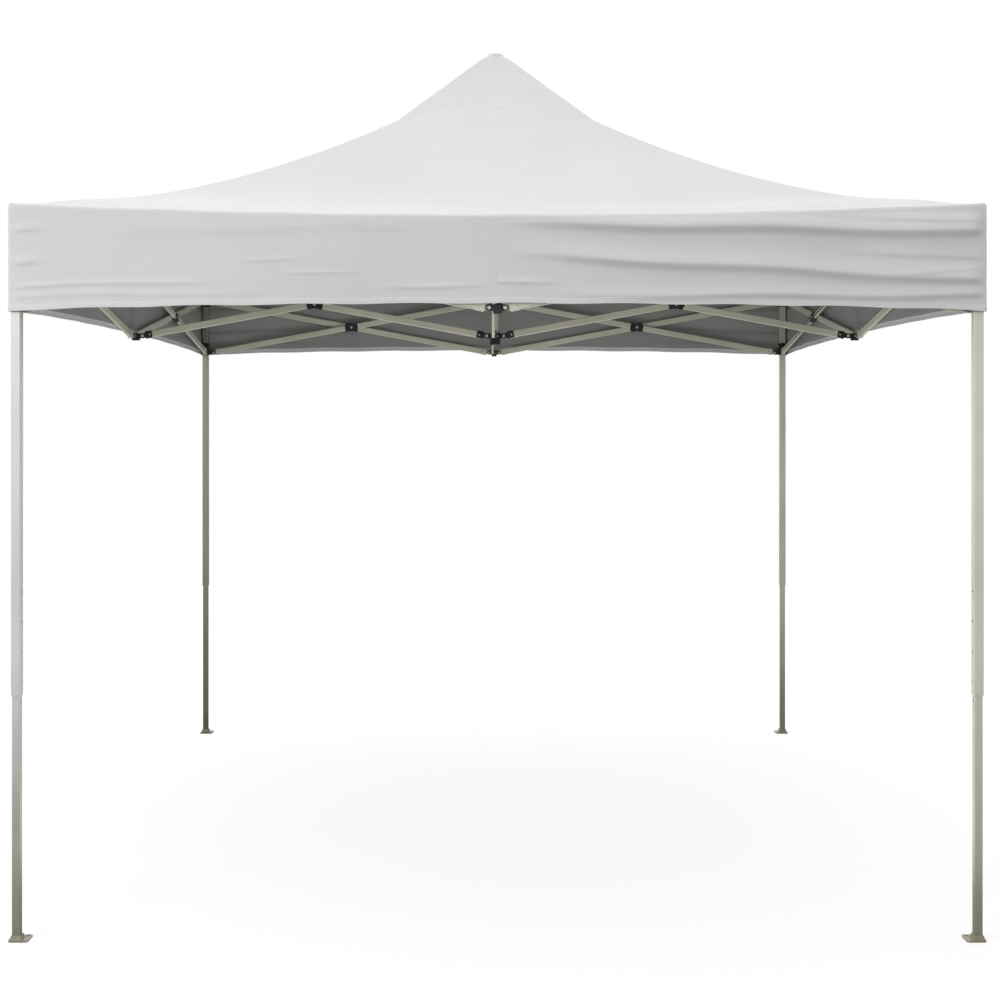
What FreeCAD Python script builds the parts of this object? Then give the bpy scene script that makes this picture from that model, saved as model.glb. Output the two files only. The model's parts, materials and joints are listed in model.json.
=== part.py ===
import FreeCAD, Part
import math
import os

# Pop up canopy, 3 m by 3 m, standing open. Millimetres, +Z up, origin on the
# ground under the peak, front side at -Y.
#
# Four telescopic legs carry a folding frame. Each side of the frame is two
# scissor pairs that meet at a pair of mid brackets. From each mid bracket pair
# one more scissor pair, the hub arms, runs in to the two centre hubs. The lower
# hub holds a tube in which the peak pole telescopes, and the pole lifts the
# cloth to its peak. Every scissor pair has the same width, height and length,
# so the whole frame folds as one linkage of parallelograms.

V = FreeCAD.Vector
UP = V(0, 0, 1)
ORIGIN = V(0, 0, 0)

# Frame layout
LEG = 1485.0             # leg centre from the middle of the canopy, in x and in y
Z_TOP = 2215.0           # upper pivots: leg tops, upper mid brackets, upper hub
Z_LOW = 1955.0           # lower pivots: sliders, lower mid brackets, lower hub
LEG_REACH = 42.0         # leg centre to bar pivot
MID_REACH = 25.0         # mid bracket centre to side bar pivot
ARM_REACH = 32.0         # side frame plane to hub arm pivot
HUB_REACH = 35.0         # hub centre to hub arm pivot

# Legs
OUTER_TUBE = 30.0
INNER_TUBE = 25.0
LEG_WALL = 1.2
OUTER_CORNER = 3.0       # corner radius of the outer tube
INNER_CORNER = 2.5
OUTER_BOTTOM = 758.0
OUTER_TOP = 2258.0
INNER_TOP = 950.0
HOLE_FIRST = 799.0       # lowest height adjustment hole
HOLE_PITCH = 93.0
HOLE_COUNT = 4
SPARE_HOLE = 739.0       # second hole of the inner leg
FOOT_SIZE = 62.0
FOOT_SHIFT = 8.0         # foot plate offset towards the middle
FOOT_THICK = 4.0
FOOT_CORNER = 10.0
FOOT_SOCKET = 18.0       # top of the tapered socket
FOOT_FLARE = 7.0         # socket wall at the plate
FOOT_RIM = 2.0           # socket wall at its top
STAKE_OFFSET = 26.0      # stake hole from the leg centre, in x and in y
STAKE_R = 5.0

# Bars: flat oval steel tube with plastic ends and a plastic sleeve at the crossing
BAR_HIGH = 28.0
BAR_THICK = 12.5
BAR_WALL = 0.8
BAR_CORNER = 3.0
BAR_LATERAL = 8.5        # bar centre from the plane of its scissor pair
TONGUE = 6.0             # thickness of the eye at a bar end
EYE_R = 10.0
CAP_START = 14.0         # where the cap grows from tongue to tube size
CAP_OVERLAP = 4.0        # how far the tongue runs into the wider part
STEP_OVERLAP = 2.0
TUBE_START = 22.0
CAP_END = 42.0
CAP_WALL = 1.5
CAP_RIVET = 32.0
FIXING_R = 2.0           # shaft of the small rivets that fix the bar ends
FIXING_HEAD_R = 4.0
SLEEVE_LONG = 65.0
SLEEVE_HIGH = 34.0
SLEEVE_GAP = 0.5         # half the gap between the two crossing sleeves
SLEEVE_THICK = 16.0

# Pivots
PIN_R = 3.0
PIN_CLEAR = 0.05
EAR_GAP = 3.1            # half the slot between two ears
EAR_THICK = 5.0
HEAD_R = 6.0
CROSS_HEAD_R = 7.0       # head of the rivet at a crossing
HEAD_THICK = 2.0
HEAD_ROUND = 1.2

# Centre
HUB_R = 22.0
HUB_BODY = 38.0
UPPER_HUB_CAP = 24.0
HUB_ROOT = 18.0          # where the hub's ears start
FOLD_SIDE = 11.0         # bracket height past the pivots on the side where bars fold
CENTRE_TUBE_R = 12.5
CENTRE_TUBE_TOP = 2850.0
CENTRE_TUBE_FLOOR = 5.0  # tube's foot above the lower hub's underside
GUIDE_WALL = 2.0         # pole guide on top of the centre tube
GUIDE_DOWN = 20.0
GUIDE_UP = 5.0
POLE_R = 10.0
POLE_BOTTOM = 2150.0
ROUND_WALL = 1.2
RUNNING = 0.1            # sliding clearance of the round tubes
POLE_SUNK = 15.0         # pole's top below the peak
COLLAR_WALL = 4.0        # peak cap: collar, plate and dome, each below the peak
COLLAR_FROM = 45.0
COLLAR_TO = 8.0
PLATE_FROM = 12.0
PLATE_TO = 3.0
PLATE_R = 34.0
DOME_FROM = 4.0
DOME_R = 30.0
DOME_TOP_R = 20.0
DOME_HIGH = 12.0

# Plastic brackets
MID_DEEP = 19.0          # mid bracket height past the pivots, away from the bars
MID_HALF = 13.0          # half width of the mid bracket's core
MID_OUT = 12.0           # core's outer face from the side frame plane
MID_IN = 19.0            # core's inner face from the side frame plane
MID_ROUND = 3.5
MID_ROOT = 9.0           # where the ears for the side bars start
ARM_ROOT = 15.0          # where the ears for the hub arm start
SOCKET_WALL = 4.0
EDGE_ROUND = 3.0         # edge radius of hubs and corner brackets
EAR_SUNK = 3.0           # how far ears start inside a corner bracket's face
CAP_BELOW = 25.0         # leg top bracket below the upper pivots
CAP_ABOVE = 6.0          # leg top bracket above the tube
SLIDER_CLEAR = 0.5
SLIDER_CORNER = 2.5
SLIDER_BELOW = 12.0
SLIDER_ABOVE = 48.0
LOCK_UP = 33.0           # slider lock button above the slider pivots
BUTTON_R = 4.0
BUTTON_CLEAR = 0.05
LOCK_CLEAR = 0.5         # lock button in the slider's wall
BUTTON_FLANGE_R = 5.8
BUTTON_FLANGE = 2.0
BUTTON_PROUD = 3.0
BUTTON_ROUND = 2.0

# Cloth
EAVE = 1508.0            # outer face of the valance from the middle
EAVE_Z = 2276.0          # eave at the corners
EAVE_SAG = 34.0          # eave at mid side hangs this much lower
VALANCE_Z = 1948.0       # valance hem at the corners
HEM_RISE = 19.0          # hem at mid side is this much higher
KNEE = 378.0             # where the steep peak meets the shallow roof
KNEE_Z = 2763.0
PEAK_HALF = 35.0
PEAK_Z = 3100.0
PEAK_TOP_HALF = 28.0
PEAK_TOP = 3113.0
CROWN = 200.0            # half width of the crown piece
CLOTH = 1.2
CROWN_CLOTH = 1.5
ROOF_POWER = 1.6
ROOF_RINGS = (CROWN, KNEE, 560.0, 760.0, 980.0, 1200.0, 1380.0, EAVE)
ROOF_COLUMNS = 8

REACH = 50.0             # length of a cutter, well past any wall
PAST = 1.0               # how far a cutter runs past a face
NEAR = 1e-6              # two values this close are the same

CELL = LEG - LEG_REACH - MID_REACH
RISE = Z_TOP - Z_LOW
BAR_LENGTH = math.hypot(CELL, RISE)
EAR_OUT = EAR_GAP + EAR_THICK

SIDES = ("front", "right", "back", "left")
CORNERS = {
    "front_left": (-1, -1),
    "front_right": (1, -1),
    "back_right": (1, 1),
    "back_left": (-1, 1),
}


def box(x0, x1, y0, y1, z0, z1):
    """Box between opposite corners."""
    low = V(min(x0, x1), min(y0, y1), min(z0, z1))
    return Part.makeBox(abs(x1 - x0), abs(y1 - y0), abs(z1 - z0), low)


def edges_along(shape, direction):
    """Straight edges that run along a direction."""
    found = []
    for edge in shape.Edges:
        if isinstance(edge.Curve, Part.Line):
            if abs(abs(edge.Curve.Direction.dot(direction)) - 1) < NEAR:
                found.append(edge)
    return found


def soft_box(x0, x1, y0, y1, z0, z1, radius, direction=UP):
    """Box whose edges along one direction are rounded."""
    solid = box(x0, x1, y0, y1, z0, z1)
    return solid.makeFillet(radius, edges_along(solid, direction))


def round_box(x0, x1, y0, y1, z0, z1, radius):
    """Box with every edge rounded."""
    solid = box(x0, x1, y0, y1, z0, z1)
    return solid.makeFillet(radius, solid.Edges)


def rod(radius, start, end):
    """Cylinder between two points."""
    along = end - start
    return Part.makeCylinder(radius, along.Length, start, along)


def square_tube(size, wall, corner, z0, z1):
    """Upright square tube on the z axis."""
    half = size / 2
    inside = half - wall
    outer = soft_box(-half, half, -half, half, z0, z1, corner)
    bore = soft_box(-inside, inside, -inside, inside, z0, z1, corner - wall)
    return outer.cut(bore)


def rivet(y_low, y_high, x=0.0, shaft_r=PIN_R, head_r=HEAD_R):
    """Rivet along y: a shaft with a domed head at both ends."""
    shaft = rod(shaft_r, V(x, y_low, 0), V(x, y_high, 0))
    low_head = rod(head_r, V(x, y_low - HEAD_THICK, 0), V(x, y_low, 0))
    high_head = rod(head_r, V(x, y_high, 0), V(x, y_high + HEAD_THICK, 0))
    low_head = low_head.makeFillet(HEAD_ROUND, [outer_rim(low_head, y_low - HEAD_THICK)])
    high_head = high_head.makeFillet(HEAD_ROUND, [outer_rim(high_head, y_high + HEAD_THICK)])
    return shaft.fuse(low_head).fuse(high_head).removeSplitter()


def outer_rim(disc, y):
    """Round edge of a disc in the plane at y."""
    for edge in disc.Edges:
        if isinstance(edge.Curve, Part.Circle) and abs(edge.Curve.Center.y - y) < NEAR:
            return edge
    raise ValueError("no rim at this height")


# ---------------------------------------------------------------- bars

def bar_section(x0, x1, grow):
    """Bar tube's outline between x0 and x1, grown evenly by a wall thickness."""
    half_thick = BAR_THICK / 2 + grow
    half_high = BAR_HIGH / 2 + grow
    corner = BAR_CORNER + min(grow, 0.0)
    return soft_box(x0, x1, BAR_LATERAL - half_thick, BAR_LATERAL + half_thick,
                    -half_high, half_high, corner, V(1, 0, 0))


def bar_cap():
    """Plastic end of a bar: eye on the scissor plane, socket around the tube."""
    outer_y = BAR_LATERAL + BAR_THICK / 2 + CAP_WALL
    half_high = BAR_HIGH / 2 + CAP_WALL
    eye = rod(EYE_R, V(0, -TONGUE / 2, 0), V(0, TONGUE / 2, 0))
    neck = box(0, CAP_START + CAP_OVERLAP, -TONGUE / 2, TONGUE / 2, -EYE_R, EYE_R)
    step = soft_box(CAP_START, TUBE_START + STEP_OVERLAP, -TONGUE / 2, outer_y,
                    -half_high, half_high, BAR_CORNER, V(0, 1, 0))
    socket = bar_section(TUBE_START, CAP_END, CAP_WALL)
    cap = eye.fuse([neck, step, socket]).removeSplitter()
    pocket = bar_section(TUBE_START, CAP_END, 0.0)
    eye_hole = rod(PIN_R + PIN_CLEAR, V(0, -TONGUE, 0), V(0, TONGUE, 0))
    rivet_hole = rod(FIXING_R, V(CAP_RIVET, -REACH, 0), V(CAP_RIVET, REACH, 0))
    return cap.cut([pocket, eye_hole, rivet_hole])


def bar(carries_rivet):
    """One scissor bar along x between its two pivots, on the +y side of the plane.

    Of the two bars of a pair, one carries the crossing rivet and the other
    turns on it.
    """
    middle = BAR_LENGTH / 2
    hole_r = PIN_R if carries_rivet else PIN_R + PIN_CLEAR
    crossing = rod(hole_r, V(middle, -REACH, 0), V(middle, REACH, 0))
    fixing_places = (CAP_RIVET, BAR_LENGTH - CAP_RIVET)
    fixing = [rod(FIXING_R, V(x, -REACH, 0), V(x, REACH, 0)) for x in fixing_places]
    tube = bar_section(TUBE_START, BAR_LENGTH - TUBE_START, 0.0)
    tube = tube.cut([bar_section(0, BAR_LENGTH, -BAR_WALL), crossing] + fixing)

    sleeve_high = SLEEVE_GAP + SLEEVE_THICK
    sleeve = soft_box(middle - SLEEVE_LONG / 2, middle + SLEEVE_LONG / 2, SLEEVE_GAP,
                      sleeve_high, -SLEEVE_HIGH / 2, SLEEVE_HIGH / 2, BAR_CORNER, V(0, 1, 0))
    sleeve = sleeve.cut([bar_section(0, BAR_LENGTH, 0.0), crossing])

    near_cap = bar_cap()
    far_cap = near_cap.mirror(V(middle, 0, 0), V(1, 0, 0))
    socket_low = BAR_LATERAL - BAR_THICK / 2 - CAP_WALL
    socket_high = BAR_LATERAL + BAR_THICK / 2 + CAP_WALL
    pieces = [tube, near_cap, far_cap, sleeve]
    for x in fixing_places:
        pieces.append(rivet(socket_low, socket_high, x, FIXING_R, FIXING_HEAD_R))
    if carries_rivet:
        pieces.append(rivet(-sleeve_high - RUNNING, sleeve_high, middle, PIN_R, CROSS_HEAD_R))
    return pieces


def place_bar(pieces, start, end, lateral):
    """Put a bar's pieces between two pivots, offset towards the lateral direction."""
    along = (end - start).normalize()
    turn = FreeCAD.Rotation(along, lateral, along.cross(lateral), "XYZ")
    placement = FreeCAD.Placement(start, turn)
    return [piece.transformed(placement.toMatrix()) for piece in pieces]


# ---------------------------------------------------------------- brackets

def side_hole(sx, z, radius):
    """Cutter for a hole in the leg face that looks along the front side, inward."""
    return rod(radius, V(0, 0, z), V(-sx * REACH, 0, z))


def ears(reach, root):
    """Two clevis ears along +x with their pin hole at the given reach."""
    pair = []
    for side in (-1, 1):
        plate = box(root, reach, side * EAR_GAP, side * EAR_OUT, -EYE_R, EYE_R)
        tip = rod(EYE_R, V(reach, side * EAR_GAP, 0), V(reach, side * EAR_OUT, 0))
        pair.append(plate.fuse(tip).removeSplitter())
    return pair


def bracket(core, spots, z):
    """Plastic bracket: a core with clevis ears, and one rivet for each clevis.

    spots lists (heading in degrees, reach of the pin, root of the ears).
    """
    body = core
    pins = []
    for heading, reach, root in spots:
        for ear in ears(reach, root):
            ear.rotate(ORIGIN, UP, heading)
            ear.translate(V(0, 0, z))
            body = body.fuse(ear)
        pin = rivet(-EAR_OUT, EAR_OUT, reach)
        hole = rod(PIN_R, V(reach, -REACH, 0), V(reach, REACH, 0))
        for shape in (pin, hole):
            shape.rotate(ORIGIN, UP, heading)
            shape.translate(V(0, 0, z))
        body = body.cut(hole)
        pins.append(pin)
    return [body.removeSplitter()] + pins


def mid_bracket(upper):
    """Bracket at the middle of a side, in the front side's frame about its centre."""
    if upper:
        z, z0, z1 = Z_TOP, Z_TOP - FOLD_SIDE, Z_TOP + MID_DEEP
    else:
        z, z0, z1 = Z_LOW, Z_LOW - MID_DEEP, Z_LOW + FOLD_SIDE
    core = round_box(-MID_HALF, MID_HALF, -MID_OUT, MID_IN, z0, z1, MID_ROUND)
    spots = [(0, MID_REACH, MID_ROOT), (180, MID_REACH, MID_ROOT), (90, ARM_REACH, ARM_ROOT)]
    return bracket(core, spots, z)


def hub(z, z0, z1, bore_r):
    """Centre hub with four clevises around a bore."""
    core = rod(HUB_R, V(0, 0, z0), V(0, 0, z1))
    rims = [edge for edge in core.Edges if isinstance(edge.Curve, Part.Circle)]
    core = core.makeFillet(EDGE_ROUND, rims)
    spots = [(90 * side, HUB_REACH, HUB_ROOT) for side in range(4)]
    body, *pins = bracket(core, spots, z)
    bore = rod(bore_r, V(0, 0, z0 - PAST), V(0, 0, z1 + PAST))
    return [body.cut(bore)] + pins


def inward_spots(sx, sy, root):
    """Clevises of a corner bracket, which point to the two neighbouring mid brackets."""
    return [(0 if sx < 0 else 180, LEG_REACH, root), (90 if sy < 0 else 270, LEG_REACH, root)]


def leg_top_bracket(sx, sy):
    """Cap over the top of an outer leg, about the leg's axis."""
    half = OUTER_TUBE / 2
    wall = half + SOCKET_WALL
    z0 = Z_TOP - CAP_BELOW
    core = round_box(-wall, wall, -wall, wall, z0, OUTER_TOP + CAP_ABOVE, EDGE_ROUND)
    pocket = soft_box(-half, half, -half, half, z0 - PAST, OUTER_TOP, OUTER_CORNER)
    body, *pins = bracket(core, inward_spots(sx, sy, wall - EAR_SUNK), Z_TOP)
    return [body.cut(pocket)] + pins


def slider(sx, sy):
    """Sliding bracket on an outer leg, about the leg's axis."""
    inside = OUTER_TUBE / 2 + SLIDER_CLEAR
    wall = inside + SOCKET_WALL
    z0 = Z_LOW - SLIDER_BELOW
    z1 = Z_LOW + SLIDER_ABOVE
    core = round_box(-wall, wall, -wall, wall, z0, z1, EDGE_ROUND)
    body, *pins = bracket(core, inward_spots(sx, sy, wall - EAR_SUNK), Z_LOW)
    passage = soft_box(-inside, inside, -inside, inside, z0 - PAST, z1 + PAST, SLIDER_CORNER)
    lock_hole = side_hole(sx, Z_LOW + LOCK_UP, BUTTON_R + LOCK_CLEAR)
    return [body.cut([passage, lock_hole])] + pins


# ---------------------------------------------------------------- legs

def outer_leg(sx):
    """Upper leg tube with its height holes and the slider lock hole."""
    tube = square_tube(OUTER_TUBE, LEG_WALL, OUTER_CORNER, OUTER_BOTTOM, OUTER_TOP)
    heights = [HOLE_FIRST + HOLE_PITCH * step for step in range(HOLE_COUNT)]
    heights.append(Z_LOW + LOCK_UP)
    return tube.cut([side_hole(sx, z, BUTTON_R + BUTTON_CLEAR) for z in heights])


def inner_leg(sx):
    """Lower leg tube with its button hole and a spare hole."""
    tube = square_tube(INNER_TUBE, LEG_WALL, INNER_CORNER, FOOT_THICK, INNER_TOP)
    return tube.cut([side_hole(sx, z, BUTTON_R + BUTTON_CLEAR) for z in (HOLE_FIRST, SPARE_HOLE)])


def foot(sx, sy):
    """Foot plate with a tapered socket and a stake hole, about the leg's axis."""
    half = FOOT_SIZE / 2
    plate = soft_box(-half, half, -half, half, 0, FOOT_THICK, FOOT_CORNER)
    plate.translate(V(-sx * FOOT_SHIFT, -sy * FOOT_SHIFT, 0))
    tube_half = INNER_TUBE / 2
    rings = []
    for z, wall in ((FOOT_THICK - PAST, FOOT_FLARE), (FOOT_SOCKET, FOOT_RIM)):
        size = tube_half + wall
        corners = [V(size, size, z), V(-size, size, z), V(-size, -size, z), V(size, -size, z)]
        rings.append(Part.makePolygon(corners + corners[:1]))
    socket = Part.makeLoft(rings, True, True)
    body = plate.fuse(socket)
    pocket = soft_box(-tube_half, tube_half, -tube_half, tube_half,
                      FOOT_THICK, FOOT_SOCKET + PAST, INNER_CORNER)
    stake = rod(STAKE_R, V(-sx * STAKE_OFFSET, -sy * STAKE_OFFSET, -PAST),
                V(-sx * STAKE_OFFSET, -sy * STAKE_OFFSET, FOOT_SOCKET))
    return body.cut([pocket, stake])


def snap_button(sx, wall_inside, face, z):
    """Spring button that stands through a leg wall towards the middle."""
    tip = face + BUTTON_PROUD
    shaft = rod(BUTTON_R, V(wall_inside - BUTTON_FLANGE, 0, 0), V(tip, 0, 0))
    rim = [edge for edge in shaft.Edges
           if isinstance(edge.Curve, Part.Circle) and abs(edge.Curve.Center.x - tip) < NEAR]
    shaft = shaft.makeFillet(BUTTON_ROUND, rim)
    flange = rod(BUTTON_FLANGE_R, V(wall_inside - BUTTON_FLANGE - PIN_CLEAR, 0, 0),
                 V(wall_inside - PIN_CLEAR, 0, 0))
    button = shaft.fuse(flange)
    button.rotate(ORIGIN, UP, 180 if sx > 0 else 0)
    button.translate(V(0, 0, z))
    return button


# ---------------------------------------------------------------- centre

def round_tube(radius, z0, z1):
    outer = rod(radius, V(0, 0, z0), V(0, 0, z1))
    return outer.cut(rod(radius - ROUND_WALL, V(0, 0, z0), V(0, 0, z1)))


def lower_hub():
    """Lower hub, the tube it holds, and the guide at the tube's top."""
    z0 = Z_LOW - HUB_BODY
    pieces = hub(Z_LOW, z0, Z_LOW + FOLD_SIDE, CENTRE_TUBE_R)
    pieces.append(round_tube(CENTRE_TUBE_R, z0 + CENTRE_TUBE_FLOOR, CENTRE_TUBE_TOP))
    low = CENTRE_TUBE_TOP - GUIDE_DOWN
    high = CENTRE_TUBE_TOP + GUIDE_UP
    guide = rod(CENTRE_TUBE_R + GUIDE_WALL, V(0, 0, low), V(0, 0, high))
    seat = rod(CENTRE_TUBE_R, V(0, 0, low - PAST), V(0, 0, CENTRE_TUBE_TOP))
    passage = rod(POLE_R + RUNNING, V(0, 0, low - PAST), V(0, 0, high + PAST))
    pieces.append(guide.cut([seat, passage]))
    return pieces


def peak_pole():
    """Telescopic pole with the round cap that holds up the peak of the cloth."""
    pole_top = PEAK_Z - POLE_SUNK
    tube = round_tube(POLE_R, POLE_BOTTOM, pole_top)
    collar = rod(POLE_R + COLLAR_WALL, V(0, 0, PEAK_Z - COLLAR_FROM), V(0, 0, PEAK_Z - COLLAR_TO))
    plate = rod(PLATE_R, V(0, 0, PEAK_Z - PLATE_FROM), V(0, 0, PEAK_Z - PLATE_TO))
    dome = Part.makeCone(DOME_R, DOME_TOP_R, DOME_HIGH, V(0, 0, PEAK_Z - DOME_FROM), UP)
    cap = collar.fuse([plate, dome]).removeSplitter()
    socket = rod(POLE_R, V(0, 0, PEAK_Z - COLLAR_FROM - PAST), V(0, 0, pole_top))
    return [tube, cap.cut(socket)]


# ---------------------------------------------------------------- cloth

def hip_height(s):
    """Height of the roof along its hips, at half width s."""
    if s <= KNEE:
        return KNEE_Z + (PEAK_Z - KNEE_Z) * (KNEE - s) / (KNEE - PEAK_HALF)
    fall = max(0.0, (EAVE - s) / (EAVE - KNEE))
    return EAVE_Z + (KNEE_Z - EAVE_Z) * fall ** ROOF_POWER


def roof_height(s, across):
    """Height of the roof at half width s, across from -1 to 1 between two hips."""
    share = max(0.0, (s - KNEE) / (EAVE - KNEE))
    return hip_height(s) - EAVE_SAG * share * (1 - across ** 2)


def triangle(a, b, c):
    return Part.Face(Part.makePolygon([a, b, c, a]))


def closed_sheet(outer, inner):
    """Closed solid between two grids of points."""
    rows = len(outer)
    columns = len(outer[0])
    faces = []

    def quad(a, b, c, d):
        faces.append(triangle(a, b, c))
        faces.append(triangle(a, c, d))

    for i in range(rows - 1):
        for j in range(columns - 1):
            for grid in (outer, inner):
                quad(grid[i][j], grid[i][j + 1], grid[i + 1][j + 1], grid[i + 1][j])
        for j in (0, columns - 1):
            quad(outer[i][j], outer[i + 1][j], inner[i + 1][j], inner[i][j])
    for i in (0, rows - 1):
        for j in range(columns - 1):
            quad(outer[i][j], outer[i][j + 1], inner[i][j + 1], inner[i][j])
    shell = Part.makeShell(faces)
    shell.sewShape()
    solid = Part.makeSolid(shell)
    if solid.Volume < 0:
        solid.reverse()
    return solid


def canopy_side():
    """Front roof face and valance, from the crown piece to the hem."""
    outer = []
    inner = []
    spread = [2 * j / ROOF_COLUMNS - 1 for j in range(ROOF_COLUMNS + 1)]
    for s in ROOF_RINGS:
        inset = CLOTH if s == EAVE else 0.0
        outer.append([V(s * a, -s, roof_height(s, a)) for a in spread])
        inner.append([V((s - inset) * a, -(s - inset), roof_height(s, a) - CLOTH) for a in spread])
    hem = [VALANCE_Z + HEM_RISE * (1 - a ** 2) for a in spread]
    outer.append([V(EAVE * a, -EAVE, z) for a, z in zip(spread, hem)])
    deep = EAVE - CLOTH
    inner.append([V(deep * a, -deep, z) for a, z in zip(spread, hem)])
    return closed_sheet(outer, inner)


def canopy_crown():
    """Top of the cloth: a steep four sided hood open at its foot."""
    rings = []
    for half, z in ((CROWN, hip_height(CROWN)), (PEAK_HALF, PEAK_Z), (PEAK_TOP_HALF, PEAK_TOP)):
        corners = [V(half, half, z), V(-half, half, z), V(-half, -half, z), V(half, -half, z)]
        rings.append(Part.makePolygon(corners + corners[:1]))
    hood = Part.makeLoft(rings, True, True)
    hollow = hood.copy()
    hollow.translate(V(0, 0, -CROWN_CLOTH))
    return hood.cut(hollow)


# ---------------------------------------------------------------- assembly

def save(name, solids):
    """Write one node, a single solid or a group of solids."""
    shape = solids[0] if len(solids) == 1 else Part.makeCompound(solids)
    shape.exportStep(os.path.join("parts", name + ".step"))


def turned(solids, quarter):
    """The solids turned from the front side to another side."""
    copies = []
    for solid in solids:
        copy = solid.copy()
        copy.rotate(ORIGIN, UP, 90 * quarter)
        copies.append(copy)
    return copies


def moved(solids, x, y):
    for solid in solids:
        solid.translate(V(x, y, 0))
    return solids


def end_names(side):
    """The neighbours of a side: at its local +x end and at its local -x end."""
    index = SIDES.index(side)
    return {1: SIDES[(index + 1) % 4], -1: SIDES[(index - 1) % 4]}


def save_side(quarter, side, riveted, plain):
    """Bars and mid brackets of one side, and the hub arms that run to it."""
    names = end_names(side)
    inward = V(0, 1, 0)
    for sign in (1, -1):
        mid_x = sign * MID_REACH
        leg_x = sign * (LEG - LEG_REACH)
        rise = place_bar(riveted, V(mid_x, -LEG, Z_LOW), V(leg_x, -LEG, Z_TOP), -inward)
        drop = place_bar(plain, V(mid_x, -LEG, Z_TOP), V(leg_x, -LEG, Z_LOW), inward)
        save(f"side_bar_rise_{side}_{names[sign]}", turned(rise, quarter))
        save(f"side_bar_drop_{side}_{names[sign]}", turned(drop, quarter))
    hub_y = -HUB_REACH
    mid_y = -LEG + ARM_REACH
    along = V(1, 0, 0)
    upper = place_bar(riveted, V(0, hub_y, Z_TOP), V(0, mid_y, Z_LOW), along)
    lower = place_bar(plain, V(0, hub_y, Z_LOW), V(0, mid_y, Z_TOP), -along)
    save(f"hub_arm_upper_{side}", turned(upper, quarter))
    save(f"hub_arm_lower_{side}", turned(lower, quarter))
    for level, is_upper in (("upper", True), ("lower", False)):
        save(f"mid_bracket_{level}_{side}", turned(moved(mid_bracket(is_upper), 0, -LEG), quarter))


def save_corner(corner, sx, sy):
    """Leg, slider and buttons of one corner."""
    x = sx * LEG
    y = sy * LEG
    save(f"outer_leg_{corner}", moved([outer_leg(sx)] + leg_top_bracket(sx, sy), x, y))
    save(f"inner_leg_{corner}", moved([inner_leg(sx), foot(sx, sy)], x, y))
    save(f"slider_{corner}", moved(slider(sx, sy), x, y))
    leg_button = snap_button(sx, INNER_TUBE / 2 - LEG_WALL, OUTER_TUBE / 2, HOLE_FIRST)
    save(f"leg_button_{corner}", moved([leg_button], x, y))
    slider_face = OUTER_TUBE / 2 + SLIDER_CLEAR + SOCKET_WALL
    lock = snap_button(sx, OUTER_TUBE / 2 - LEG_WALL, slider_face, Z_LOW + LOCK_UP)
    save(f"slider_button_{corner}", moved([lock], x, y))


def main():
    os.makedirs("parts", exist_ok=True)
    riveted = bar(True)
    plain = bar(False)
    cloth = canopy_side()
    for quarter, side in enumerate(SIDES):
        save_side(quarter, side, riveted, plain)
        save(f"canopy_{side}", turned([cloth], quarter))
    for corner, (sx, sy) in CORNERS.items():
        save_corner(corner, sx, sy)
    save("upper_hub", hub(Z_TOP, Z_TOP - FOLD_SIDE, Z_TOP + UPPER_HUB_CAP, CENTRE_TUBE_R + RUNNING))
    save("lower_hub", lower_hub())
    save("peak_pole", peak_pole())
    save("canopy_crown", [canopy_crown()])


main()
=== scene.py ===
import json
import math

import bpy
import numpy as np
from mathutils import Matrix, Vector


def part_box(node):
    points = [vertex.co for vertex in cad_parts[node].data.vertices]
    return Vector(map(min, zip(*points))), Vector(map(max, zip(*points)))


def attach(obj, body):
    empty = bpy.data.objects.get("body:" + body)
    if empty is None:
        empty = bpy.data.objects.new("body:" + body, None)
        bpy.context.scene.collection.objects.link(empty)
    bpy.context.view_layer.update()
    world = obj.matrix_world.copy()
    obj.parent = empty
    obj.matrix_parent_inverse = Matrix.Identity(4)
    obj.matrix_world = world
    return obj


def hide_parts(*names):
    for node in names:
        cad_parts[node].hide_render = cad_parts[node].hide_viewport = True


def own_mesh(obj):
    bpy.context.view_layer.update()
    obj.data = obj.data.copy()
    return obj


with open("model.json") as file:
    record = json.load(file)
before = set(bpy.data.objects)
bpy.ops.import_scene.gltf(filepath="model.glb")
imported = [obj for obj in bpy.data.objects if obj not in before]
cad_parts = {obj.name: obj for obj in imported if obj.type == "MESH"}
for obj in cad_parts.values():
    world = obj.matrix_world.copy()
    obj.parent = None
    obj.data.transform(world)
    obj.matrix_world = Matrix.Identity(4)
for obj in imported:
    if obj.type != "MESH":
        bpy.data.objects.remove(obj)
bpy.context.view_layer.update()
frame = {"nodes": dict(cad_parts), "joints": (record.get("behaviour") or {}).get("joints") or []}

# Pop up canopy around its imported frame. Metres, +Z up, front side at -Y.
# The cloth is a crown, four roof faces and eight half valances. Each is made in
# the front side's place and turned to its own side.

SIDES = ("front", "right", "back", "left")
CORNER_OF_END = {
    ("front", 1): "front_right", ("front", -1): "front_left",
    ("right", 1): "back_right", ("right", -1): "front_right",
    ("back", 1): "back_left", ("back", -1): "back_right",
    ("left", 1): "front_left", ("left", -1): "back_left",
}

# ---------------------------------------------------------------- sizes from the frame

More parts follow.
